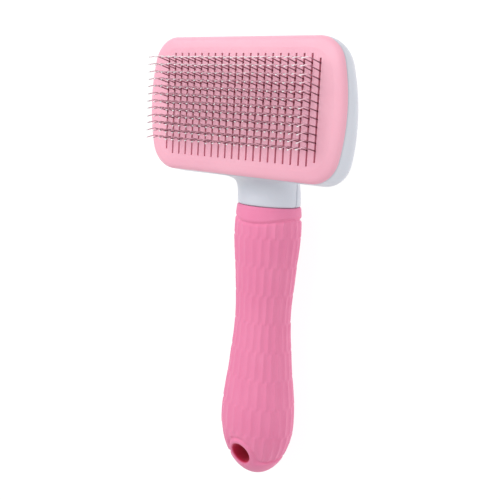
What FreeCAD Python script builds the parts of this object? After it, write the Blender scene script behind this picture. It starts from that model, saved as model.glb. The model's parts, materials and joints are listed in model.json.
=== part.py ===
"""Self-cleaning slicker brush, modelled as the separate pieces that it is assembled from.

The brush lies on its back with the pins up: +Z is out of the pin face, +Y runs from the handle's
end to the head, and X runs across the head. The pieces are drawn with Z = 0 on the front of the
face plate and Y = 0 at the middle of the head. Export then moves them all so that the origin is
on the surface that the brush lies on, under the middle of its length.
"""

import FreeCAD, Part
import math
import os

os.makedirs("parts", exist_ok=True)
Vec = FreeCAD.Vector
Z_AXIS = Vec(0, 0, 1)
Y_AXIS = Vec(0, 1, 0)
X_AXIS = Vec(1, 0, 0)

# Head, in mm
HEAD_HALF_W = 51.9
HEAD_HALF_H = 28.2
HEAD_CORNER_R = 12.6
HEAD_SIDE_BOW_R = 78.0
WALL = 1.8

# Face plate with its slots
PLATE_THICK = 2.4
PLATE_EDGE_RUN = 4.6
PLATE_CORNER_LOSS = 0.3
SKIRT_INSET = 2.6
SKIRT_THICK = 1.2
SKIRT_BOTTOM = -4.6
COLUMNS = 22
COLUMN_PITCH = 3.8
SLOT_WIDTH = 0.9
SLOT_HALF_LEN = 21.4
END_SLOT_HALF_LEN = 19.7
POST_X = 19.0
POST_Y = 21.8
POST_R = 1.8
POST_BOTTOM = -11.0
POST_BORE_DEPTH = 5.0

# Housing behind the plate
RIM_Z = -2.7
SIDE_DEPTH = 0.9
SIDE_TILT = 6.3
SIDE_FLARE = 1.2
DOME_DEPTH = 26.4
DOME_FLARE = 3.2
DOME_END_SCALE = 0.3
PARTING_Z = -24.4

# Neck and handle
AXIS_Z = -24.4
FLATTEN = 0.8
NECK_HALF_W = 14.8
NECK_TOP_Z = -3.0
NECK_BACK_Z = -36.2
NECK_FILLET_R = 9.3
NECK_MERGE_Y = -5.0
NECK_MERGE_Z = -28.4
GRIP_START_Y = -41.5
GRIP_STATIONS = ((-41.5, 15.0), (-52.5, 15.9), (-72.0, 14.5), (-92.0, 13.5), (-112.0, 15.25))
BULGE_Y = -138.0
BULGE_R = 17.9
END_Y = -164.5
SLEEVE = 1.8
SLEEVE_GAP = 0.05
HOLE_Y = -153.0
HOLE_R = 4.5
HOLE_LINER_R = 6.2

# Pins: 12 rows of U-shaped staples in each pair of columns
ROWS = 12
ROW_PITCH = 3.0
LAST_ROW_Y = -15.35
WIRE_R = 0.2
CROWN_Z = -5.7
KNEE_Z = 7.8
KNEE_LEAN = 1.3
TIP_Z = 12.5
TIP_LEAN = 0.15

# Pin base tray and rubber cushion
BASE_HALF_W = 42.4
BASE_HALF_H = 19.5
BASE_CORNER_R = 5.0
BASE_BOTTOM = -7.6
BASE_FLOOR = -5.9
BASE_RIM = -3.3
CUSHION_BACK = -5.5
CUSHION_TOP = -3.0
TRAY_WALL = 1.2
EAR_X = 33.0
EAR_Y = 21.6
EAR_R = 2.6
EAR_TOP = -5.4
BASE_SCREW_TIP = -13.4
WEB_WIDTH = 3.0
GUIDE_X = 24.0
GUIDE_R = 2.0
GUIDE_BOTTOM = -23.3

# Ejector: frame and button
FRAME_TOP = -20.0
FRAME_BOTTOM = -22.0
FRAME_HALF_W = 28.0
FRAME_HALF_H = 13.0
FRAME_BORE_R = 2.35
ARM_WIDTH = 6.0
ARM_SEAT = 1.5
FRAME_CORNER_R = 4.0
BUTTON_BOTTOM = -38.7
BUTTON_HALF_W = 17.0
BUTTON_HALF_H = 12.0
BUTTON_WALL = 1.6
BUTTON_EDGE_R = 2.5
BUTTON_DISH_R = 90.0
BUTTON_DISH_DEPTH = 0.6
BUTTON_GAP = 0.4
FLANGE_EXTRA = 2.0
FLANGE_THICK = 1.4

# Return springs
COIL_R = 3.2
SPRING_WIRE_R = 0.35
SPRING_HALF_TURNS = 8

# Fasteners
SCREW_R = 1.25
HEAD_R = 2.1
HEAD_H = 1.5
SEAT_Z = -31.6
BOSS_R = 3.2
SMALL_SCREW = 0.8
SMALL_R = SCREW_R * SMALL_SCREW
SMALL_HEAD_R = HEAD_R * SMALL_SCREW
SCREW_BITE = 5.0
COUNTERBORE_GAP = 0.3
HOUSING_SCREWS = ((-8.0, -34.0, 9.6), (8.0, -34.0, 9.6), (0.0, -64.0, 10.1), (0.0, -118.0, 10.8))
HOUSING_SCREW_TIP = -17.0
BUTTON_SCREW_X = 9.0

ORIGIN_SHIFT = Vec(0, -(HEAD_HALF_H + END_Y) / 2, -BUTTON_BOTTOM)
FAR = 400.0
FIX_TOLERANCE = 0.001


def column_x(column):
    """X of a column of pins, counted from 0 at the left."""
    return (column - (COLUMNS - 1) / 2) * COLUMN_PITCH


def row_y(row):
    """Y where a row of pins comes through the face plate, counted from 0 at the handle side."""
    return LAST_ROW_Y + row * ROW_PITCH


def arc(start, middle, end):
    return Part.Arc(start, middle, end).toShape()


def outline(half_w, half_h, corner_r, bow_r, z):
    """Rounded rectangle whose short sides are bowed outward, as a closed wire at height z."""
    side_x = half_w - bow_r
    corner_y = half_h - corner_r
    reach = bow_r - corner_r
    corner_x = side_x + math.sqrt(reach * reach - corner_y * corner_y)
    lean = math.atan2(corner_y, corner_x - side_x)
    mid = (lean + math.pi / 2) / 2
    touch = Vec(side_x + bow_r * math.cos(lean), bow_r * math.sin(lean), z)
    bend = Vec(corner_x + corner_r * math.cos(mid), corner_y + corner_r * math.sin(mid), z)
    top = Vec(corner_x, half_h, z)

    def flip(point, sx, sy):
        return Vec(point.x * sx, point.y * sy, point.z)

    edges = [
        arc(flip(touch, 1, -1), Vec(half_w, 0, z), touch),
        arc(touch, bend, top),
        Part.makeLine(top, flip(top, -1, 1)),
        arc(flip(top, -1, 1), flip(bend, -1, 1), flip(touch, -1, 1)),
        arc(flip(touch, -1, 1), Vec(-half_w, 0, z), flip(touch, -1, -1)),
        arc(flip(touch, -1, -1), flip(bend, -1, -1), flip(top, -1, -1)),
        Part.makeLine(flip(top, -1, -1), flip(top, 1, -1)),
        arc(flip(top, 1, -1), flip(bend, 1, -1), flip(touch, 1, -1)),
    ]
    return Part.Wire(edges)


def head_outline(inset, z):
    """The head's outline moved inward by inset."""
    return outline(
        HEAD_HALF_W - inset, HEAD_HALF_H - inset, HEAD_CORNER_R - inset, HEAD_SIDE_BOW_R - inset, z
    )


def prism(wire, height):
    return Part.Face(wire).extrude(Vec(0, 0, height))


def ellipse_prism(half_w, half_h, z_low, z_high):
    """Upright prism with an elliptical section."""
    ring = Part.Ellipse(Vec(0, 0, z_low), half_w, half_h).toShape()
    return prism(Part.Wire([ring]), z_high - z_low)


def rounded_plate(half_w, half_h, corner_r, z_low, z_high):
    """Flat plate with rounded corners."""
    plate = Part.makeBox(2 * half_w, 2 * half_h, z_high - z_low, Vec(-half_w, -half_h, z_low))
    upright = [e for e in plate.Edges if abs(e.tangentAt(e.FirstParameter).z) > 0.9]
    return plate.makeFillet(corner_r, upright)


def cylinder(x, y, r, z_low, z_high):
    return Part.makeCylinder(r, z_high - z_low, Vec(x, y, z_low), Z_AXIS)


def fuse(first, *others):
    return first.multiFuse(list(others)).removeSplitter()


def head_section(inset, scale, depth, tilt, flare):
    """One section of the head, tipped about its top edge so that it is deeper by the handle."""
    half_h = (HEAD_HALF_H - inset) * scale + flare / 2
    section = outline(
        (HEAD_HALF_W - inset) * scale,
        half_h,
        (HEAD_CORNER_R - inset) * scale,
        (HEAD_SIDE_BOW_R - inset) * scale,
        0,
    )
    section.rotate(Vec(0, half_h, 0), X_AXIS, tilt)
    section.translate(Vec(0, -flare / 2, RIM_Z - depth))
    return section


def head_form(inset):
    """The head behind the plate: straight side walls, then a dome, inset from its outside."""
    end = math.acos(DOME_END_SCALE)
    sections = [head_section(inset, 1, 0, 0, 0)]
    for step in range(6):
        angle = end * step / 5
        rise = math.sin(angle)
        depth = SIDE_DEPTH + (DOME_DEPTH - inset) * rise
        tilt = SIDE_TILT * (1 - rise / math.sin(end))
        flare = SIDE_FLARE + DOME_FLARE * rise
        sections.append(head_section(inset, math.cos(angle), depth, tilt, flare))
    return Part.makeLoft(sections, True)


def ellipse_section(y, half_w, top, bottom):
    """Closed elliptical wire across the handle at y."""
    stretch = FreeCAD.Matrix()
    stretch.scale(Vec(half_w, 1, (top - bottom) / 2))
    ring = Part.makeCircle(1, Vec(0, 0, 0), Y_AXIS).transformGeometry(stretch)
    ring.translate(Vec(0, y, (top + bottom) / 2))
    return Part.Wire([ring])


def neck_front(y):
    """Height of the neck's front surface: level, then a concave fillet up to the head's rim."""
    run = max(0.0, y + HEAD_HALF_H + NECK_FILLET_R)
    return NECK_TOP_Z - math.sqrt(NECK_FILLET_R**2 - run**2)


def neck_back(y):
    """Height of the neck's back surface, which eases into the back of the head."""
    share = (y - GRIP_START_Y) / (NECK_MERGE_Y - GRIP_START_Y)
    ease = (1 - math.cos(math.pi * share)) / 2
    return NECK_BACK_Z + ease * (NECK_MERGE_Z - NECK_BACK_Z)


def neck_form(inset):
    """The neck, from the grip until it has sunk into the head, inset from its outside."""
    stations = [(GRIP_START_Y + inset, neck_front(GRIP_START_Y))]
    for degrees in (0, 25, 45, 62, 76):
        y = -HEAD_HALF_H - NECK_FILLET_R * (1 - math.sin(math.radians(degrees)))
        stations.append((y, neck_front(y)))
    stations += [(-HEAD_HALF_H + 0.5, NECK_TOP_Z - 0.6), (-17.0, -9.0), (NECK_MERGE_Y, -14.0)]
    sections = []
    for y, top in stations:
        section = ellipse_section(y, NECK_HALF_W - inset, top - inset, neck_back(y) + inset)
        sections.append(section)
    return Part.makeLoft(sections, True, True)


def handle_form(inset, start_y=GRIP_START_Y):
    """The handle: a turned profile with a rounded end, flattened front to back."""
    points = [Vec(r - inset, y, 0) for y, r in GRIP_STATIONS]
    bulge = Vec(BULGE_R - inset, BULGE_Y, 0)
    side = Part.BSplineCurve()
    side.interpolate(
        Points=points + [bulge],
        InitialTangent=Vec(0.16, -1, 0),
        FinalTangent=Vec(0, -1, 0),
    )
    tip = Vec(0, END_Y + inset, 0)
    ellipse = Part.Ellipse(tip, bulge, Vec(0, BULGE_Y, 0))
    end_arc = Part.ArcOfEllipse(ellipse, 0, math.pi / 2).toShape()
    first = points[0]
    mouth = Vec(first.x, start_y, 0)
    axis_top = Vec(0, start_y, 0)
    edges = [side.toShape(), end_arc, Part.makeLine(tip, axis_top)]
    if start_y > GRIP_START_Y:
        edges.append(Part.makeLine(axis_top, mouth))
        edges.append(Part.makeLine(mouth, first))
    else:
        edges.append(Part.makeLine(axis_top, first))
    wire = Part.Wire(Part.__sortEdges__(edges))
    turned = Part.Face(wire).revolve(Vec(0, 0, 0), Y_AXIS, 360)
    turned.rotate(Vec(0, 0, 0), Y_AXIS, 45)
    flat = FreeCAD.Matrix()
    flat.scale(Vec(1, 1, FLATTEN))
    form = turned.transformGeometry(flat)
    form.translate(Vec(0, 0, AXIS_Z))
    return Part.Solid(form) if form.ShapeType == "Shell" else form


def half_space(front):
    low = PARTING_Z if front else PARTING_Z - FAR
    return Part.makeBox(2 * FAR, 2 * FAR, FAR, Vec(-FAR, -FAR, low))


def housing_body():
    """Both housing halves as one hollow form, before they are parted."""
    core = handle_form(SLEEVE + SLEEVE_GAP, GRIP_START_Y + 2)
    outside = head_form(0).fuse(neck_form(0)).fuse(core)
    hollow = head_form(WALL).fuse(neck_form(WALL))
    hollow = hollow.fuse(handle_form(SLEEVE + SLEEVE_GAP + WALL, GRIP_START_Y + 3))
    mouth = prism(head_outline(WALL, RIM_Z - 0.2), 1.0)
    return outside.cut(hollow).cut(mouth)


def hole_boss():
    """Wall round the hanging hole, inside the end of the handle."""
    boss = cylinder(0, HOLE_Y, HOLE_LINER_R + WALL, AXIS_Z - BULGE_R, AXIS_Z + BULGE_R)
    return boss.common(handle_form(SLEEVE + SLEEVE_GAP + WALL / 2))


def ear_bosses():
    """Four bosses on the head's wall that carry the pin base."""
    seat = head_form(WALL / 2)
    bosses = []
    for x, y in four_corners(EAR_X, EAR_Y):
        bosses.append(cylinder(x, y, EAR_R, PARTING_Z, BASE_BOTTOM).common(seat))
    return bosses


def housing_half(shell, front):
    """One half of the housing, with its screw bosses and the hole for hanging."""
    space = half_space(front)
    half = shell.common(space).fuse(hole_boss().common(space))
    side = 1 if front else -1
    for x, y, reach in HOUSING_SCREWS:
        low, high = sorted((PARTING_Z, PARTING_Z + side * reach))
        half = half.fuse(cylinder(x, y, BOSS_R, low, high))
    cuts = [cylinder(0, HOLE_Y, HOLE_LINER_R + SLEEVE_GAP, AXIS_Z - BULGE_R, AXIS_Z + BULGE_R)]
    for x, y, reach in HOUSING_SCREWS:
        cuts.append(cylinder(x, y, SCREW_R, SEAT_Z, HOUSING_SCREW_TIP))
        cuts.append(cylinder(x, y, HEAD_R + COUNTERBORE_GAP, BUTTON_BOTTOM, SEAT_Z))
    if front:
        for boss in ear_bosses():
            half = half.fuse(boss)
        for x, y in four_corners(EAR_X, EAR_Y):
            cuts.append(cylinder(x, y, SCREW_R, BASE_BOTTOM - 6, BASE_BOTTOM))
    else:
        hole_w = BUTTON_HALF_W + BUTTON_GAP
        hole_h = BUTTON_HALF_H + BUTTON_GAP
        cuts.append(ellipse_prism(hole_w, hole_h, BUTTON_BOTTOM, FRAME_TOP))
    for cutter in cuts:
        half = half.cut(cutter)
    half.fix(FIX_TOLERANCE, FIX_TOLERANCE, FIX_TOLERANCE)
    return half.Solids[0]


def grip_sleeve():
    """Rubber sleeve over the handle, with a liner through the hanging hole."""
    outer = handle_form(0)
    inner = handle_form(SLEEVE, GRIP_START_Y + 3)
    liner = cylinder(0, HOLE_Y, HOLE_LINER_R, -FAR / 4, FAR / 4).common(outer)
    sleeve = fuse(outer.cut(inner), liner)
    return sleeve.cut(cylinder(0, HOLE_Y, HOLE_R, -FAR / 4, FAR / 4))


def slots():
    """Cutters for the slots that the pins stand in."""
    cutters = []
    for column in range(COLUMNS):
        at_end = column in (0, COLUMNS - 1)
        half_len = END_SLOT_HALF_LEN if at_end else SLOT_HALF_LEN
        corner = Vec(column_x(column) - SLOT_WIDTH / 2, -half_len, -PLATE_THICK - 1)
        cutters.append(Part.makeBox(SLOT_WIDTH, 2 * half_len, PLATE_THICK + 2, corner))
    return cutters


def plate_section(inset, z):
    """The plate's outline at height z, whose corners stay nearly as round as they rise."""
    return outline(
        HEAD_HALF_W - inset,
        HEAD_HALF_H - inset,
        HEAD_CORNER_R - PLATE_CORNER_LOSS * inset,
        HEAD_SIDE_BOW_R - inset,
        z,
    )


def face_plate():
    """Slotted plate with a soft front edge, a skirt inside the housing and four posts."""
    sections = []
    for degrees in (0, 30, 60, 90):
        angle = math.radians(degrees)
        inset = PLATE_EDGE_RUN * (1 - math.cos(angle))
        sections.append(plate_section(inset, -PLATE_THICK * (1 - math.sin(angle))))
    plate = Part.makeLoft(sections, True)
    plate = plate.cut(Part.makeCompound(slots()))
    skirt = prism(head_outline(SKIRT_INSET, SKIRT_BOTTOM), -PLATE_THICK - SKIRT_BOTTOM)
    opening = prism(head_outline(SKIRT_INSET + SKIRT_THICK, SKIRT_BOTTOM - 1), 9)
    skirt = skirt.cut(opening)
    posts = []
    for x in (-POST_X, POST_X):
        for y in (-POST_Y, POST_Y):
            post = cylinder(x, y, POST_R, POST_BOTTOM, -PLATE_THICK)
            posts.append(post.cut(cylinder(x, y, SMALL_R, POST_BOTTOM, POST_BOTTOM + POST_BORE_DEPTH)))
    return fuse(plate, skirt, *posts)


def frame_arm(side):
    """Arm of the push frame, which follows the back of the head out to a post."""
    lower = ((12.0, FRAME_BOTTOM), (17.0, -21.4), (19.5, -19.0), (21.2, -16.6), (23.3, -13.0))
    upper = ((23.3, POST_BOTTOM), (20.1, POST_BOTTOM), (20.1, -15.2), (19.6, -16.8), (17.6, -18.7))
    points = [Vec(0, y * side, z) for y, z in lower + upper + ((12.0, FRAME_TOP),)]
    profile = Part.Face(Part.makePolygon(points + [points[0]]))
    return profile.extrude(Vec(ARM_WIDTH, 0, 0))


def push_frame():
    """Frame behind the pin base that carries the plate's posts on four arms."""
    frame = rounded_plate(FRAME_HALF_W, FRAME_HALF_H, FRAME_CORNER_R, FRAME_BOTTOM, FRAME_TOP)
    arms = []
    cuts = []
    for x in (-POST_X, POST_X):
        for side in (-1, 1):
            arm = frame_arm(side)
            arm.translate(Vec(x - ARM_WIDTH / 2, 0, 0))
            arms.append(arm)
            cuts.append(cylinder(x, side * POST_Y, SMALL_R, BUTTON_BOTTOM, POST_BOTTOM + 1))
            well_r = SMALL_HEAD_R + COUNTERBORE_GAP
            cuts.append(cylinder(x, side * POST_Y, well_r, BUTTON_BOTTOM, POST_BOTTOM - ARM_SEAT))
    for x in (-GUIDE_X, GUIDE_X):
        cuts.append(cylinder(x, 0, FRAME_BORE_R, BUTTON_BOTTOM, 0))
    for x in (-BUTTON_SCREW_X, BUTTON_SCREW_X):
        cuts.append(cylinder(x, 0, SMALL_R, BUTTON_BOTTOM, 0))
    return fuse(frame, *arms).cut(Part.makeCompound(cuts))


def push_button():
    """Oval button with a hollow back, a flange that holds it in, and a dished thumb face."""
    body = ellipse_prism(BUTTON_HALF_W, BUTTON_HALF_H, BUTTON_BOTTOM, FRAME_BOTTOM)
    rim = [e for e in body.Edges if abs(e.BoundBox.ZMax - BUTTON_BOTTOM) < 0.01]
    body = body.makeFillet(BUTTON_EDGE_R, rim)
    flange = ellipse_prism(
        BUTTON_HALF_W + FLANGE_EXTRA, BUTTON_HALF_H + FLANGE_EXTRA,
        FRAME_BOTTOM - FLANGE_THICK, FRAME_BOTTOM,
    )
    core = ellipse_prism(
        BUTTON_HALF_W - BUTTON_WALL, BUTTON_HALF_H - BUTTON_WALL,
        BUTTON_BOTTOM + 2 * BUTTON_WALL, FRAME_BOTTOM + 1,
    )
    dish_z = BUTTON_BOTTOM + BUTTON_DISH_DEPTH - BUTTON_DISH_R
    dish = Part.makeSphere(BUTTON_DISH_R, Vec(0, 0, dish_z))
    button = fuse(body, flange).cut(core).cut(dish)
    bosses = []
    for x in (-BUTTON_SCREW_X, BUTTON_SCREW_X):
        boss = cylinder(x, 0, BOSS_R, BUTTON_BOTTOM + BUTTON_WALL, FRAME_BOTTOM)
        bosses.append(boss)
    button = fuse(button, *bosses)
    holes = [
        cylinder(x, 0, SMALL_R, FRAME_BOTTOM - SCREW_BITE - 1, FRAME_BOTTOM)
        for x in (-BUTTON_SCREW_X, BUTTON_SCREW_X)
    ]
    return button.cut(Part.makeCompound(holes))


def pin_base():
    """Tray that holds the cushion, with screw ears and two guide posts for the ejector."""
    tray = rounded_plate(BASE_HALF_W, BASE_HALF_H, BASE_CORNER_R, BASE_BOTTOM, BASE_RIM)
    pocket = rounded_plate(
        BASE_HALF_W - TRAY_WALL, BASE_HALF_H - TRAY_WALL, BASE_CORNER_R - TRAY_WALL, BASE_FLOOR, 0
    )
    tray = tray.cut(pocket)
    ears = []
    holes = []
    for x in (-EAR_X, EAR_X):
        for y in (-EAR_Y, EAR_Y):
            ear = cylinder(x, y, EAR_R, BASE_BOTTOM, EAR_TOP)
            web_y = math.copysign(BASE_HALF_H + 1.0, y)
            corner = Vec(x - EAR_R, web_y - WEB_WIDTH / 2, BASE_BOTTOM)
            web = Part.makeBox(2 * EAR_R, WEB_WIDTH, EAR_TOP - BASE_BOTTOM, corner)
            ears.extend([ear, web.cut(pocket)])
            holes.append(cylinder(x, y, SCREW_R, BASE_BOTTOM, EAR_TOP + 1))
    guides = [cylinder(x, 0, GUIDE_R, GUIDE_BOTTOM, BASE_BOTTOM) for x in (-GUIDE_X, GUIDE_X)]
    return fuse(tray, *ears, *guides).cut(Part.makeCompound(holes))


def pin_cushion():
    """Soft rubber pad that the staples are pressed through."""
    gap = TRAY_WALL + 0.05
    return rounded_plate(
        BASE_HALF_W - gap, BASE_HALF_H - gap, BASE_CORNER_R - gap, CUSHION_BACK, CUSHION_TOP
    )


def staple():
    """One U-shaped wire, whose two legs are the pins in neighbouring columns."""
    lean = KNEE_LEAN / KNEE_Z
    low = Vec(0, CROWN_Z * lean, CROWN_Z)
    knee = Vec(0, KNEE_LEAN, KNEE_Z)
    tip = Vec(0, TIP_LEAN, TIP_Z)
    across = Vec(COLUMN_PITCH, 0, 0)
    path = Part.makePolygon([tip, knee, low, low + across, knee + across, tip + across])
    section = Part.Wire([Part.makeCircle(WIRE_R, tip, knee - tip)])
    wire = path.makePipeShell([section], True, False, 1)
    return wire if wire.ShapeType == "Solid" else Part.Solid(wire)


def staple_row(pair, one):
    """The twelve staples in one pair of columns."""
    copies = []
    for row in range(ROWS):
        copy = one.copy()
        copy.translate(Vec(column_x(2 * pair), row_y(row), 0))
        copies.append(copy)
    return Part.makeCompound(copies)


def screw(x, y, seat_z, tip_z, scale=1.0):
    """Pan-head screw with its head's seat at seat_z and its point at tip_z."""
    up = 1 if tip_z > seat_z else -1
    low, high = sorted((seat_z, tip_z))
    shank = cylinder(x, y, SCREW_R * scale, low, high)
    head_low, head_high = sorted((seat_z, seat_z - up * HEAD_H * scale))
    head = cylinder(x, y, HEAD_R * scale, head_low, head_high)
    drive_low, drive_high = sorted((seat_z - up * HEAD_H * scale, seat_z - up * 0.5 * scale))
    drive = []
    for long_x, long_y in ((2.2, 0.6), (0.6, 2.2)):
        corner = Vec(x - long_x * scale / 2, y - long_y * scale / 2, drive_low)
        size_z = drive_high - drive_low
        drive.append(Part.makeBox(long_x * scale, long_y * scale, size_z, corner))
    return fuse(shank, head).cut(Part.makeCompound(drive))


def screws(places, seat_z, tip_z, scale=1.0):
    return Part.makeCompound([screw(x, y, seat_z, tip_z, scale) for x, y in places])


def four_corners(x, y):
    return [(sx * x, sy * y) for sx in (-1, 1) for sy in (-1, 1)]


def return_spring(x):
    """Compression spring round a guide post: half turns of wire that climb, with level ends."""
    length = BASE_BOTTOM - FRAME_TOP - 2 * SPRING_WIRE_R
    climb = length / (SPRING_HALF_TURNS - 2)
    z = FRAME_TOP + SPRING_WIRE_R
    side = 1
    coil = None
    for half_turn in range(SPRING_HALF_TURNS):
        level = half_turn in (0, SPRING_HALF_TURNS - 1)
        rise = 0 if level else climb
        ring = Part.makeCircle(SPRING_WIRE_R, Vec(x + side * COIL_R, 0, z), Y_AXIS)
        axis = Vec(side * rise, 0, 2 * COIL_R)
        bend = Part.Face(Part.Wire([ring])).revolve(Vec(x, 0, z + rise / 2), axis, 180)
        coil = coil.fuse(bend) if coil else bend
        z += rise
        side = -side
    return coil


def export(name, shape):
    placed = shape.copy()
    placed.translate(ORIGIN_SHIFT)
    placed.exportStep("parts/" + name + ".step")
    solids = len(placed.Solids)
    box = placed.BoundBox
    print(
        f"{name:22s} solids {solids:3d} valid {placed.isValid()} volume {placed.Volume:9.1f}"
        f"  z {box.ZMin:6.2f} {box.ZMax:6.2f}  y {box.YMin:7.2f} {box.YMax:7.2f}"
    )


def build():
    shell = housing_body()
    export("front_housing", housing_half(shell, True))
    export("rear_housing", housing_half(shell, False))
    export("grip_sleeve", grip_sleeve())
    export("face_plate", face_plate())
    export("push_frame", push_frame())
    export("push_button", push_button())
    export("pin_base", pin_base())
    export("pin_cushion", pin_cushion())
    one = staple()
    for pair in range(COLUMNS // 2):
        export(f"pin_staples_{pair + 1:02d}", staple_row(pair, one))
    housing_places = [(x, y) for x, y, reach in HOUSING_SCREWS]
    export("housing_screws", screws(housing_places, SEAT_Z, HOUSING_SCREW_TIP))
    export("base_screws", screws(four_corners(EAR_X, EAR_Y), EAR_TOP, BASE_SCREW_TIP))
    seat = POST_BOTTOM - ARM_SEAT
    tip = POST_BOTTOM + POST_BORE_DEPTH
    export("plate_screws", screws(four_corners(POST_X, POST_Y), seat, tip, SMALL_SCREW))
    button_places = ((-BUTTON_SCREW_X, 0), (BUTTON_SCREW_X, 0))
    export("button_screws", screws(button_places, FRAME_TOP, FRAME_BOTTOM - SCREW_BITE - 1, SMALL_SCREW))
    export("return_spring_left", return_spring(-GUIDE_X))
    export("return_spring_right", return_spring(GUIDE_X))


if __name__ == "__main__":
    build()
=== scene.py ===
"""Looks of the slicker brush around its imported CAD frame.

Shapes are worked out in the brush's own measure: millimetres, with the origin on the face plate's
front at the middle of the head, X across, Y towards the head's top and Z out of the pin face. The
function place() turns them into metres in the frame.
"""

import json
import math
import random

import bpy
import numpy as np
from mathutils import Matrix, Vector

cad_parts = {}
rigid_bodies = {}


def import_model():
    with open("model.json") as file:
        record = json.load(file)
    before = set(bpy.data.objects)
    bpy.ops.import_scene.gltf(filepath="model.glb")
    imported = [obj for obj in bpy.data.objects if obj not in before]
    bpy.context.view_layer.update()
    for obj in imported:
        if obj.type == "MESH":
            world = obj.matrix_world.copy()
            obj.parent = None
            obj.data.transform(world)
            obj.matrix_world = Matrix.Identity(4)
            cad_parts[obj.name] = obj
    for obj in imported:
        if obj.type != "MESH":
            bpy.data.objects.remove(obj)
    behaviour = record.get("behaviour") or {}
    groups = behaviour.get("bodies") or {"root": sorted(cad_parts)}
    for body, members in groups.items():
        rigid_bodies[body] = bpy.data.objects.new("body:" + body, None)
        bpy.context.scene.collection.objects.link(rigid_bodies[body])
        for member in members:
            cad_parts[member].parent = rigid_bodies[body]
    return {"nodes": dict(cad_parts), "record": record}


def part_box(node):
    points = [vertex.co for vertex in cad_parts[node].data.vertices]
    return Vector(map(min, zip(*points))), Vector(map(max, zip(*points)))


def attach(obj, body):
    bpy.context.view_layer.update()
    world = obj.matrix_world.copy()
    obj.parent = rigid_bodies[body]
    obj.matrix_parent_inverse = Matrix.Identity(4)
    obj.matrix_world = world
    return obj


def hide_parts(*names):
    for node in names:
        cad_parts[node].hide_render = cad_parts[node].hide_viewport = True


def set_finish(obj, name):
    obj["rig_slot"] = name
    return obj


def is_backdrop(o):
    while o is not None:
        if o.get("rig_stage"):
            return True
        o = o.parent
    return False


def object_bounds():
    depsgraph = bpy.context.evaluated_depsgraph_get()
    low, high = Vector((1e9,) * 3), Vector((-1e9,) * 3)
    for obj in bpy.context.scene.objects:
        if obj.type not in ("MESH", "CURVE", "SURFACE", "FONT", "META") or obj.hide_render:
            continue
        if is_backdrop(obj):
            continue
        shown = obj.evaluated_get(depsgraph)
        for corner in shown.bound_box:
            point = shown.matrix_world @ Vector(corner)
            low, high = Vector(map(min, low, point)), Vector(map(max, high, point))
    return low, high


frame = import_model()
cad_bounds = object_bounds()

MM = 0.001
PLATE_LOW, PLATE_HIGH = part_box("face_plate")
ORIGIN = Vector((0.0, (PLATE_LOW.y + PLATE_HIGH.y) / 2, PLATE_HIGH.z))

# Head, in mm
HALF_W = 51.9
HALF_H = 28.2
CORNER_R = 12.6
BOW_R = 78.0
WALL = 1.8
RIM_Z = -2.7
SIDE_DEPTH = 0.9
SIDE_SLOPE = 0.11
SIDE_FLARE = 1.2
DOME_DEPTH = 26.4
DOME_FLARE = 3.2
DOME_END_RISE = 0.954  # where the CAD dome stops
PARTING_Z = -24.4
SEAM = 0.12
SOLID_NECK_Y = -26.0  # the neck's unseen hollow is left filled from here to the grip

# Neck and handle
AXIS_Z = -24.4
FLATTEN = 0.8
NECK_HALF_W = 14.8
NECK_TOP_Z = -3.0
NECK_BACK_Z = -36.2
NECK_FILLET_R = 9.3
NECK_MERGE_Y = -5.0
NECK_MERGE_Z = -28.4
GRIP_START_Y = -41.5
STATIONS = ((-41.5, 15.0), (-52.5, 15.9), (-72.0, 14.5), (-92.0, 13.5), (-112.0, 15.25), (-138.0, 17.9))
BULGE_Y = -138.0
BULGE_R = 17.9
END_Y = -164.5
SLEEVE = 1.8
HOLE_Y = -153.0
HOLE_R = 4.5
LINER_R = 6.2
LIP_R = 7.3

# Facets of the grip. A FACET_DEPTH of 1 gives true flats at the bulge; more is cut deeper, to show.
FACETS = 24
FACET_ROW = 12.6
FACET_DEPTH = 3.4
FACET_STEP_RUN = 1.5
FACET_FADE = 0.8
GROOVE_DEPTH = 0.9
GROOVE_WIDTH = 0.65
COLLAR_Y = -47.5
COLLAR_WAVE = 1.4
CAP_Y = -155.0
CAP_WAVE = 1.6

# Pins
COLUMNS = 22
COLUMN_PITCH = 3.8
ROWS = 12
ROW_PITCH = 3.0
LAST_ROW_Y = -15.35
CROWN_Z = -5.7
KNEE_Z = 7.8
KNEE_LEAN = 1.3
TIP_Z = 12.5
TIP_LEAN = 0.15
KNEE_SOFT = 0.7
CROWN_BEND = 0.35
WIRE_R = 0.25  # thicker than the CAD wire, to show at this size
FAN_Y = 0.7  # how much further the top row's tips lean than the bottom row's
WANDER_X = 0.07
WANDER_X_LIMIT = 0.14
WANDER_Y = 0.16
PIN_SEED = 11
WIRE_SIDES = 8

BUTTON_HALF_W = 17.0
BUTTON_HALF_H = 12.0
BUTTON_GAP = 0.4


def place(points):
    """Points in mm in the brush's measure, as metres in the frame."""
    return np.asarray(points, float) * MM + np.array(ORIGIN)


def add_mesh(name, points, faces, body, smooth=True):
    """A new mesh object riding on a body, from points in mm."""
    mesh = bpy.data.meshes.new(name)
    mesh.from_pydata(place(points).tolist(), [], [list(f) for f in faces])
    mesh.validate()
    mesh.update()
    mesh.polygons.foreach_set("use_smooth", [smooth] * len(mesh.polygons))
    piece = bpy.data.objects.new(name, mesh)
    bpy.context.scene.collection.objects.link(piece)
    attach(piece, body)
    return piece


# ---------------------------------------------------------------- solids from distance fields


def smooth_min(a, b, k):
    """The smaller of two distances, with the corner between them rounded over k."""
    h = np.clip(0.5 + 0.5 * (b - a) / k, 0, 1)
    return b + (a - b) * h - k * h * (1 - h)


def smooth_max(a, b, k):
    return -smooth_min(-a, -b, k)


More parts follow.
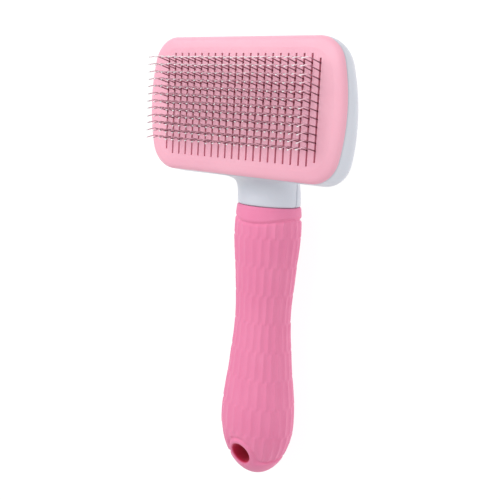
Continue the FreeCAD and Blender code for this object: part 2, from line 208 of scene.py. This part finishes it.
def as_distance(field, step=0.05):
    """A field whose value near its surface is close to the distance from it."""

    def distance(x, y, z):
        gx = (field(x + step, y, z) - field(x - step, y, z)) / (2 * step)
        gy = (field(x, y + step, z) - field(x, y - step, z)) / (2 * step)
        gz = (field(x, y, z + step) - field(x, y, z - step)) / (2 * step)
        slope = np.sqrt(gx * gx + gy * gy + gz * gz)
        return field(x, y, z) / np.maximum(slope, 0.004)

    return distance


def settle(field, points, rounds=3, reach=0.25, step=0.04):
    """Moves points onto the surface where the field is zero."""
    for _ in range(rounds):
        x, y, z = points.T
        value = field(x, y, z)
        gradient = np.stack(
            [
                (field(x + step, y, z) - field(x - step, y, z)) / (2 * step),
                (field(x, y + step, z) - field(x, y - step, z)) / (2 * step),
                (field(x, y, z + step) - field(x, y, z - step)) / (2 * step),
            ],
            axis=1,
        )
        slope2 = np.maximum((gradient**2).sum(axis=1), 0.05)
        move = gradient * (value / slope2)[:, None]
        length = np.sqrt((move**2).sum(axis=1))
        move *= np.minimum(1.0, reach / np.maximum(length, 1e-9))[:, None]
        points = points - move
    return points


def surface_net(field, low, high, step):
    """Points and quads of the surface where the field changes sign inside a box."""
    axes = [np.arange(low[i], high[i] + step, step) for i in range(3)]
    shape = [len(a) for a in axes]
    value = np.empty(shape, np.float32)
    for i, x in enumerate(axes[0]):
        y, z = np.meshgrid(axes[1], axes[2], indexing="ij")
        value[i] = field(np.full_like(y, x), y, z)
    inside = value < 0
    cells = tuple(n - 1 for n in shape)
    total = np.zeros(cells + (3,))
    count = np.zeros(cells)
    for axis in range(3):
        others = [a for a in range(3) if a != axis]
        for du in (0, 1):
            for dv in (0, 1):
                start = [0, 0, 0]
                start[others[0]] = du
                start[others[1]] = dv
                end = list(start)
                end[axis] = 1
                part_a = tuple(slice(s, s + c) for s, c in zip(start, cells))
                part_b = tuple(slice(s, s + c) for s, c in zip(end, cells))
                a = value[part_a]
                b = value[part_b]
                crossed = inside[part_a] != inside[part_b]
                share = np.where(crossed, a / np.where(crossed, a - b, 1), 0)
                for k in range(3):
                    offset = start[k] + (share if k == axis else 0)
                    total[..., k] += np.where(crossed, offset, 0)
                count += crossed
    used = count > 0
    index = np.full(cells, -1)
    index[used] = np.arange(used.sum())
    corner = np.stack(np.nonzero(used), axis=1)
    points = (corner + total[used] / count[used][:, None]) * step + np.array(low)
    quads = []
    for axis in range(3):
        u, v = [a for a in range(3) if a != axis]
        lo = [slice(None)] * 3
        hi = [slice(None)] * 3
        lo[axis] = slice(0, -1)
        hi[axis] = slice(1, None)
        crossed = inside[tuple(lo)] != inside[tuple(hi)]
        at = np.stack(np.nonzero(crossed), axis=1)
        keep = (at[:, u] > 0) & (at[:, v] > 0) & (at[:, u] < cells[u]) & (at[:, v] < cells[v])
        at = at[keep]
        ring = []
        for du, dv in ((-1, -1), (0, -1), (0, 0), (-1, 0)):
            cell = at.copy()
            cell[:, u] += du
            cell[:, v] += dv
            ring.append(index[cell[:, 0], cell[:, 1], cell[:, 2]])
        quad = np.stack(ring, axis=1)
        outward = inside[tuple(lo)][at[:, 0], at[:, 1], at[:, 2]]
        if axis == 1:
            outward = ~outward
        quad[~outward] = quad[~outward][:, ::-1]
        quads.append(quad)
    return points, np.concatenate(quads)


def solid_from(field, name, body, low, high, step):
    """A smooth mesh object of the solid where the field is negative."""
    points, quads = surface_net(field, low, high, step)
    points = settle(field, points, reach=step / 2)
    return add_mesh(name, points, quads, body)


# ---------------------------------------------------------------- the brush's forms


def outline_points(half_w, half_h, corner_r, bow_r, per_side, per_corner):
    """Points round the head's outline: bowed short sides, round corners, straight long sides."""
    side_x = half_w - bow_r
    corner_y = half_h - corner_r
    reach = bow_r - corner_r
    corner_x = side_x + math.sqrt(reach * reach - corner_y * corner_y)
    lean = math.atan2(corner_y, corner_x - side_x)
    quarter = []
    for i in range(per_side // 2):
        a = lean * i / (per_side // 2)
        quarter.append((side_x + bow_r * math.cos(a), bow_r * math.sin(a)))
    for i in range(per_corner):
        a = lean + (math.pi / 2 - lean) * i / per_corner
        quarter.append((corner_x + corner_r * math.cos(a), corner_y + corner_r * math.sin(a)))
    for i in range(per_side // 2):
        quarter.append((corner_x * (1 - i / (per_side // 2)), half_h))
    left = [(-x, y) for x, y in reversed(quarter[1:])]
    upper = quarter + [(0.0, half_h)] + left
    lower = [(x, -y) for x, y in reversed(upper[1:-1])]
    return upper + lower


OUTLINE = np.array(outline_points(HALF_W, HALF_H, CORNER_R, BOW_R, 96, 64))
OUTLINE_ANGLE = np.arctan2(OUTLINE[:, 1], OUTLINE[:, 0]) % (2 * math.pi)
_order = np.argsort(OUTLINE_ANGLE)
OUTLINE_ANGLE = OUTLINE_ANGLE[_order]
OUTLINE_REACH = np.hypot(OUTLINE[:, 0], OUTLINE[:, 1])[_order]


def head_gauge(x, y):
    """How far out a point is, where 1 is on the head's outline."""
    angle = np.arctan2(y, x) % (2 * math.pi)
    reach = np.interp(angle, OUTLINE_ANGLE, OUTLINE_REACH, period=2 * math.pi)
    return np.hypot(x, y) / reach


def head_depth(y, z):
    """Depth at the top edge of the tipped section of the head that a point lies on."""
    down = np.maximum(RIM_Z - z, 0)
    wall = down / (1 + np.maximum(HALF_H - y, -2.0) * SIDE_SLOPE / SIDE_DEPTH)
    depth = np.maximum(down - (HALF_H - y) * SIDE_SLOPE, SIDE_DEPTH)
    for _ in range(5):
        rise = np.clip((depth - SIDE_DEPTH) / DOME_DEPTH, 0, DOME_END_RISE)
        slope = SIDE_SLOPE * (1 - rise / DOME_END_RISE)
        depth = down - (HALF_H * np.sqrt(1 - rise**2) - y) * slope
    return np.where(wall <= SIDE_DEPTH, wall, np.maximum(depth, SIDE_DEPTH))


def dome_field(x, y, z):
    """The head behind the plate: straight side walls, deeper by the handle, then a dome."""
    depth = head_depth(y, z)
    rise = np.maximum(depth - SIDE_DEPTH, 0) / DOME_DEPTH
    size = np.sqrt(1 - np.minimum(rise, DOME_END_RISE) ** 2) * HALF_H
    flare = SIDE_FLARE * np.minimum(depth / SIDE_DEPTH, 1) + DOME_FLARE * rise
    across = (y + flare / 2) * size / (size + flare / 2)
    return np.sqrt(head_gauge(x, across) ** 2 + rise**2) - 1


def neck_front(y):
    run = np.clip(y + HALF_H + NECK_FILLET_R, 0, NECK_FILLET_R)
    front = NECK_TOP_Z - np.sqrt(NECK_FILLET_R**2 - run**2)
    inside = NECK_TOP_Z - 0.6 * np.maximum(y + HALF_H, 0)
    return np.where(y > -HALF_H, inside, front)


def neck_back(y):
    share = np.clip((y - GRIP_START_Y) / (NECK_MERGE_Y - GRIP_START_Y), 0, 1)
    ease = (1 - np.cos(math.pi * share)) / 2
    return NECK_BACK_Z + ease * (NECK_MERGE_Z - NECK_BACK_Z)


def neck_field(x, y, z):
    front = neck_front(y)
    back = neck_back(y)
    half = (front - back) / 2
    return np.sqrt((x / NECK_HALF_W) ** 2 + ((z - (front + back) / 2) / half) ** 2) - 1


dome_distance = as_distance(dome_field)
neck_distance = as_distance(neck_field)


def hermite_profile():
    """Half-width of the handle against Y, as a smooth curve through its stations."""
    ys = np.array([s[0] for s in STATIONS])[::-1]
    rs = np.array([s[1] for s in STATIONS])[::-1]
    slopes = np.gradient(rs, ys)
    slopes[0] = 0.0
    slopes[-1] = -0.16
    y_fine = np.linspace(ys[0], ys[-1], 400)
    i = np.clip(np.searchsorted(ys, y_fine, side="right") - 1, 0, len(ys) - 2)
    h = ys[i + 1] - ys[i]
    t = (y_fine - ys[i]) / h
    a = (2 * t**3 - 3 * t**2 + 1) * rs[i] + (t**3 - 2 * t**2 + t) * h * slopes[i]
    b = (-2 * t**3 + 3 * t**2) * rs[i + 1] + (t**3 - t**2) * h * slopes[i + 1]
    return y_fine, a + b


PROFILE_Y, PROFILE_R = hermite_profile()


def handle_radius(y):
    return np.interp(y, PROFILE_Y, PROFILE_R)


def handle_polar(x, z):
    """Angle from the front and radius, in the handle's section made round."""
    up = (z - AXIS_Z) / FLATTEN
    return np.arctan2(x, up), np.hypot(x, up)


def handle_smooth(x, y, z):
    """Distance from the handle's smooth outside."""
    _, rho = handle_polar(x, z)
    side = rho - handle_radius(y)
    tail = (BULGE_Y - y) * BULGE_R / (BULGE_Y - END_Y)
    end = np.hypot(rho, np.maximum(tail, 0)) - BULGE_R
    return np.where(y < BULGE_Y, end, side)


def collar_y(angle):
    """The line where the smooth collar ends."""
    return COLLAR_Y - COLLAR_WAVE * np.cos(2 * angle)


def cap_y(angle):
    """The line where the smooth end cap starts."""
    return CAP_Y - CAP_WAVE * np.cos(angle)


def texture_zone(angle, x, y):
    """How far inside the faceted zone a point is, in mm; negative on the collar, cap and hole lip."""
    from_hole = np.hypot(x, y - HOLE_Y) - LIP_R
    from_cap = y - cap_y(angle)
    front = smooth_min(from_hole, from_cap, 3.0)
    return np.minimum(front, collar_y(angle) - y)


def grip_outside(x, y, z):
    """Distance from the grip's outside, with its facets and the grooves round them."""
    angle, rho = handle_polar(x, z)
    zone = texture_zone(angle, x, y)
    pitch = 2 * math.pi / FACETS
    row = (GRIP_START_Y - y) / FACET_ROW
    whole = np.floor(row)
    blend = np.clip((row - whole) * FACET_ROW / FACET_STEP_RUN, 0, 1)
    share = angle / pitch

    def cut(offset):
        within = np.mod(share + offset, 1.0) - 0.5
        return 1 - math.cos(pitch / 2) / np.cos(within * pitch)

    here = cut(0.5 * np.mod(whole, 2))
    before = cut(0.5 * np.mod(whole + 1, 2))
    depth = before + (here - before) * blend
    fade = np.clip(zone / FACET_FADE, 0, 1)
    facet = FACET_DEPTH * BULGE_R * depth * fade
    groove = GROOVE_DEPTH * np.exp(-((zone / GROOVE_WIDTH) ** 2))
    return handle_smooth(x, y, z) + facet + groove


def grip_field(x, y, z):
    """The rubber sleeve, open at the neck, with the lined hanging hole."""
    outside = grip_outside(x, y, z)
    inside = handle_smooth(x, y, z) + SLEEVE
    from_hole = np.hypot(x, y - HOLE_Y)
    sleeve = np.maximum(outside, -inside)
    sleeve = np.minimum(sleeve, np.maximum(from_hole - LINER_R, outside))
    sleeve = smooth_max(sleeve, y - GRIP_START_Y, 1.0)
    return smooth_max(sleeve, HOLE_R - from_hole, 1.6)


def housing_field(front):
    """One half of the white housing."""

    def field(x, y, z):
        neck = smooth_max(neck_distance(x, y, z), y - NECK_MERGE_Y, 2.0)
        body = smooth_min(dome_distance(x, y, z), neck, 3.0)
        cavity = smooth_max(body + WALL, SOLID_NECK_Y - y, 1.0)
        shell = np.maximum(body, -cavity)
        neck_end = smooth_max(shell, GRIP_START_Y + 0.15 - y, 0.8)
        core = handle_smooth(x, y, z) + SLEEVE + 0.1
        core = np.maximum(core, -(core + WALL))
        core = np.maximum(core, y - GRIP_START_Y - 1.5)
        whole = np.minimum(neck_end, core)
        whole = smooth_max(whole, z - RIM_Z, 0.7)
        whole = smooth_max(whole, LINER_R + 0.1 - np.hypot(x, y - HOLE_Y), 0.3)
        if front:
            return smooth_max(whole, PARTING_Z + SEAM - z, 0.45)
        ring = np.hypot(x / (BUTTON_HALF_W + BUTTON_GAP), y / (BUTTON_HALF_H + BUTTON_GAP))
        button = (1 - ring) * BUTTON_HALF_H
        whole = smooth_max(whole, button, 0.8)
        return smooth_max(whole, z - PARTING_Z + SEAM, 0.45)

    return field


def build_housing():
    """Front and rear halves of the white housing."""
    step = 0.62
    low_y = -163.5
    front = solid_from(
        housing_field(True), "front_shell", "housing",
        (-HALF_W - 1.3, low_y, PARTING_Z - 1.0), (HALF_W + 1.3, HALF_H + 1.3, RIM_Z + 1.3), step,
    )
    rear = solid_from(
        housing_field(False), "rear_shell", "housing",
        (-34.0, low_y, NECK_BACK_Z - 3.0), (34.0, HALF_H, PARTING_Z + 1.0), step,
    )
    for piece, node in ((front, "front_housing"), (rear, "rear_housing")):
        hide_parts(node)
        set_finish(piece, "white_abs")
    return front, rear


def build_grip():
    step = 0.45
    grip = solid_from(
        grip_field, "grip", "housing",
        (-BULGE_R - 1, END_Y - 1, AXIS_Z - BULGE_R * FLATTEN - 1),
        (BULGE_R + 1, GRIP_START_Y + 1, AXIS_Z + BULGE_R * FLATTEN + 1), step,
    )
    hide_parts("grip_sleeve")
    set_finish(grip, "grip_rubber")
    return grip


# ---------------------------------------------------------------- pins


def pin_lean(z):
    """Sideways place of a pin at height z: it leans to the head's top, then bends back."""
    rise = KNEE_LEAN / KNEE_Z
    fall = (TIP_LEAN - KNEE_LEAN) / (TIP_Z - KNEE_Z)
    u = z - KNEE_Z
    return KNEE_LEAN + (rise + fall) / 2 * u - (rise - fall) / 2 * (math.hypot(u, KNEE_SOFT) - KNEE_SOFT)


def pin_path(x, row, turn, rng):
    """Points up one leg of a staple, from its crown to its tip, slightly out of true."""
    y = LAST_ROW_Y + row * ROW_PITCH
    wander_x = max(-WANDER_X_LIMIT, min(WANDER_X_LIMIT, rng.gauss(0, WANDER_X)))
    wander_y = rng.gauss(0, WANDER_Y) + FAN_Y * row / (ROWS - 1)
    tip_z = TIP_Z + rng.uniform(-0.25, 0.0)
    heights = [CROWN_Z + CROWN_BEND, -3.0, 0.0, 3.0, 5.5, 6.6, 7.3, 7.8, 8.3, 9.0, 10.2, 11.4]
    heights += [tip_z - 0.06, tip_z]
    points = [(x + turn * CROWN_BEND, y + pin_lean(CROWN_Z), CROWN_Z)]
    for z in heights:
        grow = max(0.0, z / TIP_Z)
        points.append((x + wander_x * grow, y + pin_lean(z) + wander_y * grow, z))
    return points


def tube(path, radius, sides, points, faces, tip_scale=0.55):
    """Adds a closed tube along a path of points, with its last ring drawn in."""
    path = np.array(path, float)
    tangent = np.gradient(path, axis=0)
    tangent /= np.linalg.norm(tangent, axis=1)[:, None]
    normal = np.array([0.3, 1.0, 0.1])
    base = len(points)
    for i, (centre, along) in enumerate(zip(path, tangent)):
        normal = normal - along * normal.dot(along)
        normal /= np.linalg.norm(normal)
        side = np.cross(along, normal)
        r = radius * (tip_scale if i in (0, len(path) - 1) else 1.0)
        for k in range(sides):
            a = 2 * math.pi * k / sides
            points.append(tuple(centre + r * (math.cos(a) * normal + math.sin(a) * side)))
    for i in range(len(path) - 1):
        for k in range(sides):
            a = base + i * sides + k
            b = base + i * sides + (k + 1) % sides
            faces.append((a, b, b + sides, a + sides))
    faces.append(tuple(base + k for k in reversed(range(sides))))
    last = base + (len(path) - 1) * sides
    faces.append(tuple(last + k for k in range(sides)))


def build_pins():
    """The staples of each pair of columns, as one piece for each pair."""
    rng = random.Random(PIN_SEED)
    pieces = []
    for pair in range(COLUMNS // 2):
        points = []
        faces = []
        left = (2 * pair - (COLUMNS - 1) / 2) * COLUMN_PITCH
        for row in range(ROWS):
            up = pin_path(left, row, 1, rng)
            down = pin_path(left + COLUMN_PITCH, row, -1, rng)
            tube(list(reversed(up)) + down, WIRE_R, WIRE_SIDES, points, faces)
        piece = add_mesh(f"pins_{pair + 1:02d}", points, faces, "housing")
        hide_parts(f"pin_staples_{pair + 1:02d}")
        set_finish(piece, "pin_steel")
        pieces.append(piece)
    return pieces


# ---------------------------------------------------------------- materials


def srgb(red, green, blue):
    """Linear colour of an sRGB colour given from 0 to 255."""
    return tuple(
        (v / 255 / 12.92 if v / 255 <= 0.04045 else ((v / 255 + 0.055) / 1.055) ** 2.4)
        for v in (red, green, blue)
    ) + (1.0,)


class Surface:
    """A procedural material: a Principled shader with noise in its colour, roughness and bump."""

    def __init__(self, name, metallic=0.0, specular=0.5, ior=1.46):
        self.material = bpy.data.materials.new(name)
        self.material.use_nodes = True
        self.tree = self.material.node_tree
        self.shader = self.tree.nodes["Principled BSDF"]
        self.shader.inputs["Metallic"].default_value = metallic
        self.shader.inputs["Specular IOR Level"].default_value = specular
        self.shader.inputs["IOR"].default_value = ior
        self.coordinates = self.tree.nodes.new("ShaderNodeTexCoord").outputs["Object"]

    def noise(self, scale, detail=4.0, roughness=0.55, stretch=None):
        """A noise value; scale is in cycles per metre."""
        node = self.tree.nodes.new("ShaderNodeTexNoise")
        node.inputs["Scale"].default_value = scale
        node.inputs["Detail"].default_value = detail
        node.inputs["Roughness"].default_value = roughness
        source = self.coordinates
        if stretch:
            mapping = self.tree.nodes.new("ShaderNodeMapping")
            mapping.inputs["Scale"].default_value = stretch
            self.tree.links.new(source, mapping.inputs["Vector"])
            source = mapping.outputs["Vector"]
        self.tree.links.new(source, node.inputs["Vector"])
        return node.outputs["Fac"]

    def ramp(self, value, stops, socket=None):
        """Maps a value through colours or greys, into a shader input if one is named."""
        node = self.tree.nodes.new("ShaderNodeValToRGB")
        while len(node.color_ramp.elements) < len(stops):
            node.color_ramp.elements.new(0.5)
        for element, (position, colour) in zip(node.color_ramp.elements, stops):
            element.position = position
            element.color = colour if isinstance(colour, tuple) else (colour, colour, colour, 1)
        self.tree.links.new(value, node.inputs["Fac"])
        if socket:
            self.tree.links.new(node.outputs["Color"], self.shader.inputs[socket])
        return node.outputs["Color"]

    def bump(self, *layers):
        """Stacks bumps, each given as (value, strength, distance in mm)."""
        normal = None
        for value, strength, distance in layers:
            node = self.tree.nodes.new("ShaderNodeBump")
            node.inputs["Strength"].default_value = strength
            node.inputs["Distance"].default_value = distance * MM
            self.tree.links.new(value, node.inputs["Height"])
            if normal:
                self.tree.links.new(normal, node.inputs["Normal"])
            normal = node.outputs["Normal"]
        self.tree.links.new(normal, self.shader.inputs["Normal"])


def plastic(name, low, high, rough, grain=900.0, grain_depth=0.012, specular=0.45):
    """Moulded plastic: faint flow in its colour and a fine spark-eroded grain."""
    s = Surface(name, specular=specular)
    s.ramp(s.noise(38.0, 3.0), [(0.3, low), (0.7, high)], "Base Color")
    s.ramp(s.noise(170.0, 4.0), [(0.3, rough - 0.04), (0.7, rough + 0.05)], "Roughness")
    s.bump((s.noise(grain, 3.0), 0.35, grain_depth), (s.noise(55.0, 2.0), 0.1, 0.05))
    s.shader.inputs["Subsurface Weight"].default_value = 0.08
    s.shader.inputs["Subsurface Radius"].default_value = (0.004, 0.0025, 0.0022)
    s.shader.inputs["Subsurface Scale"].default_value = 0.4
    return s.material


def soft_rubber(name, low, high, rough=0.62):
    """Soft-touch rubber: matt, with a fine even grain and a faint sheen."""
    s = Surface(name, specular=0.3)
    s.ramp(s.noise(60.0, 4.0), [(0.3, low), (0.7, high)], "Base Color")
    s.ramp(s.noise(240.0, 4.0), [(0.3, rough - 0.05), (0.7, rough + 0.07)], "Roughness")
    s.bump((s.noise(2200.0, 2.0), 0.3, 0.012), (s.noise(420.0, 3.0), 0.12, 0.02))
    s.shader.inputs["Sheen Weight"].default_value = 0.12
    s.shader.inputs["Sheen Roughness"].default_value = 0.45
    s.shader.inputs["Subsurface Weight"].default_value = 0.06
    s.shader.inputs["Subsurface Radius"].default_value = (0.004, 0.002, 0.002)
    s.shader.inputs["Subsurface Scale"].default_value = 0.4
    return s.material


def metal(name, low, high, rough, stretch, drawn=3000.0):
    """Wire or screw metal with fine drawing marks."""
    s = Surface(name, metallic=1.0)
    s.ramp(s.noise(300.0, 3.0), [(0.3, low), (0.7, high)], "Base Color")
    s.ramp(s.noise(drawn, 3.0, stretch=stretch), [(0.3, rough - 0.05), (0.7, rough + 0.08)], "Roughness")
    s.bump((s.noise(drawn, 2.0, stretch=stretch), 0.15, 0.004))
    return s.material


def grip_material():
    """The grip's rubber, with painted shade inside the hanging hole, where it goes a deeper crimson."""
    material = soft_rubber("grip_soft_rubber", srgb(234, 130, 170), srgb(239, 138, 176))
    tree = material.node_tree
    base = tree.nodes["Principled BSDF"].inputs["Base Color"]
    outside = base.links[0].from_socket
    centre = place([(0.0, HOLE_Y, 0.0)])[0]
    flatten = tree.nodes.new("ShaderNodeMapping")
    flatten.inputs["Location"].default_value = (-centre[0], -centre[1], 0.0)
    flatten.inputs["Scale"].default_value = (1, 1, 0)
    tree.links.new(tree.nodes["Texture Coordinate"].outputs["Object"], flatten.inputs["Vector"])
    reach = tree.nodes.new("ShaderNodeVectorMath")
    reach.operation = "LENGTH"
    tree.links.new(flatten.outputs["Vector"], reach.inputs[0])
    share = tree.nodes.new("ShaderNodeMapRange")
    share.inputs["From Min"].default_value = (HOLE_R + 0.1) * MM
    share.inputs["From Max"].default_value = (HOLE_R + 0.9) * MM
    tree.links.new(reach.outputs["Value"], share.inputs["Value"])
    # Painted shade: the rubber's colour goes a deeper crimson inside the hanging hole.
    hole_shade_mix = tree.nodes.new("ShaderNodeMixRGB")
    hole_shade_mix.inputs["Color1"].default_value = srgb(196, 30, 74)
    tree.links.new(share.outputs["Result"], hole_shade_mix.inputs["Fac"])
    tree.links.new(outside, hole_shade_mix.inputs["Color2"])
    tree.links.new(hole_shade_mix.outputs["Color"], base)
    return material


def pin_metal():
    """Steel wire with painted shade low down, between the rows, and a painted highlight at its bent
    tips, both set in its colour by height.
    """
    s = Surface("pin_steel_painted_light", metallic=1.0)
    split = s.tree.nodes.new("ShaderNodeSeparateXYZ")
    s.tree.links.new(s.coordinates, split.inputs["Vector"])
    height = s.tree.nodes.new("ShaderNodeMapRange")
    height.inputs["From Min"].default_value = PLATE_HIGH.z
    height.inputs["From Max"].default_value = PLATE_HIGH.z + TIP_Z * MM
    s.tree.links.new(split.outputs["Z"], height.inputs["Value"])
    # Painted light in the base colour: dark crimson-grey shade low in the slots, a white highlight at
    # the tips.
    painted_shade = (0.24, 0.14, 0.16, 1)
    middle = (0.4, 0.32, 0.34, 1)
    painted_highlight = (0.97, 0.97, 0.97, 1)
    s.ramp(height.outputs["Result"], [(0.1, painted_shade), (0.5, middle), (0.66, painted_highlight)], "Base Color")
    s.ramp(s.noise(3000.0, 3.0, stretch=(1, 1, 0.05)), [(0.3, 0.2), (0.7, 0.34)], "Roughness")
    s.bump((s.noise(3000.0, 2.0, stretch=(1, 1, 0.05)), 0.15, 0.004))
    return s.material


def dress():
    """Gives every node and piece its material."""
    white = plastic("white_abs_satin", srgb(208, 211, 221), srgb(214, 217, 226), 0.34)
    pink = plastic("plate_pink_satin", srgb(244, 176, 196), srgb(248, 183, 201), 0.42)
    button = plastic("button_pink_satin", srgb(236, 134, 174), srgb(241, 142, 180), 0.38)
    crimson = plastic("inner_crimson", srgb(176, 8, 58), srgb(196, 14, 68), 0.5)
    rubber = grip_material()
    cushion = soft_rubber("cushion_crimson_rubber", srgb(196, 8, 60), srgb(212, 14, 70), 0.7)
    # A slight glow keeps the crimson from going black at the bottom of the slots.
    for material in (crimson, cushion):
        glow = material.node_tree.nodes["Principled BSDF"]
        glow.inputs["Emission Color"].default_value = srgb(190, 10, 62)
        glow.inputs["Emission Strength"].default_value = 0.35
    steel = pin_metal()
    spring = metal("spring_drawn_steel", (0.45, 0.45, 0.46, 1), (0.6, 0.6, 0.61, 1), 0.32, (1, 1, 1))
    zinc = metal("screw_zinc", (0.55, 0.56, 0.58, 1), (0.68, 0.69, 0.71, 1), 0.36, (1, 1, 0.2))
    by_slot = {
        "white_abs": white, "plate_pink": pink, "button_pink": button, "inner_crimson": crimson,
        "grip_rubber": rubber, "cushion_rubber": cushion, "pin_steel": steel,
        "spring_steel": spring, "screw_steel": zinc,
    }
    slot_of = {s["node"]: s["material_slot"] for s in frame["record"]["subparts"]}
    for node, cad_object in frame["nodes"].items():
        cad_object.data.materials.clear()
        cad_object.data.materials.append(by_slot[slot_of[node]])
    for piece in bpy.data.objects:
        if "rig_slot" in piece:
            piece.data.materials.clear()
            piece.data.materials.append(by_slot[piece["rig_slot"]])


# ---------------------------------------------------------------- stage, lights and camera


def build_stage():
    """A plain white floor under the brush, which glows so that it shows almost no shadow."""
    mesh = bpy.data.meshes.new("floor")
    reach = 3.0
    floor_z = cad_bounds[0][2] - 0.0002
    corners = [(-reach, -reach), (reach, -reach), (reach, reach), (-reach, reach)]
    mesh.from_pydata([(x, y, floor_z) for x, y in corners], [], [(0, 1, 2, 3)])
    floor = bpy.data.objects.new("floor", mesh)
    bpy.context.scene.collection.objects.link(floor)
    s = Surface("floor_white", specular=0.2)
    s.ramp(s.noise(3.0, 2.0), [(0.3, 0.13), (0.7, 0.15)], "Base Color")
    s.shader.inputs["Emission Color"].default_value = (1, 1, 1, 1)
    s.shader.inputs["Emission Strength"].default_value = 0.92
    s.shader.inputs["Roughness"].default_value = 0.8
    mesh.materials.append(s.material)
    floor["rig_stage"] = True


def aim(thing, source, target, up=Vector((0, 0, 1))):
    """Puts a lamp or camera at source, looking at target."""
    back = (source - target).normalized()
    right = up.cross(back).normalized()
    true_up = back.cross(right)
    turn = Matrix((right, true_up, back)).transposed().to_4x4()
    thing.matrix_world = Matrix.Translation(source) @ turn


def area_light(name, place_at, target, size, power, colour=(1, 1, 1)):
    lamp = bpy.data.lights.new(name, "AREA")
    lamp.shape = "SQUARE"
    lamp.size = size
    lamp.energy = power
    lamp.color = colour
    holder = bpy.data.objects.new(name, lamp)
    bpy.context.scene.collection.objects.link(holder)
    aim(holder, Vector(place_at), Vector(target))


def build_lights():
    middle = (0.0, 0.0, 0.02)
    area_light("key", (-0.35, 0.42, 0.75), middle, 0.7, 5.3)
    area_light("fill", (0.75, -0.1, 0.4), middle, 0.8, 1.1)
    world = bpy.data.worlds.new("studio")
    world.use_nodes = True
    world.node_tree.nodes["Background"].inputs["Color"].default_value = (1, 1, 1, 1)
    world.node_tree.nodes["Background"].inputs["Strength"].default_value = 0.55
    bpy.context.scene.world = world
    bpy.context.scene.view_settings.view_transform = "Standard"
    bpy.context.scene.view_settings.look = "None"


def build_camera():
    """The camera stands above the right of the pin face, turned so that the handle hangs down."""
    camera_mm = Vector((231.5, 0.0, 270.1))
    forward = Vector((-0.6247, -0.1633, -0.7636))
    head_up = Vector((-0.1433, 0.9853, -0.0935))
    data = bpy.data.cameras.new("camera")
    data.sensor_width = 36.0
    data.lens = 62.0
    data.clip_start = 0.01
    data.clip_end = 20.0
    camera = bpy.data.objects.new("camera", data)
    bpy.context.scene.collection.objects.link(camera)
    source = Vector(place([camera_mm])[0])
    aim(camera, source, source + forward, head_up)
    bpy.context.scene.camera = camera


build_housing()
build_grip()
build_pins()
dress()
build_stage()
build_lights()
build_camera()

boxes = {"cad": cad_bounds, "visual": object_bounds()}
{k: [list(map(float, corner)) for corner in v] for k, v in boxes.items()}
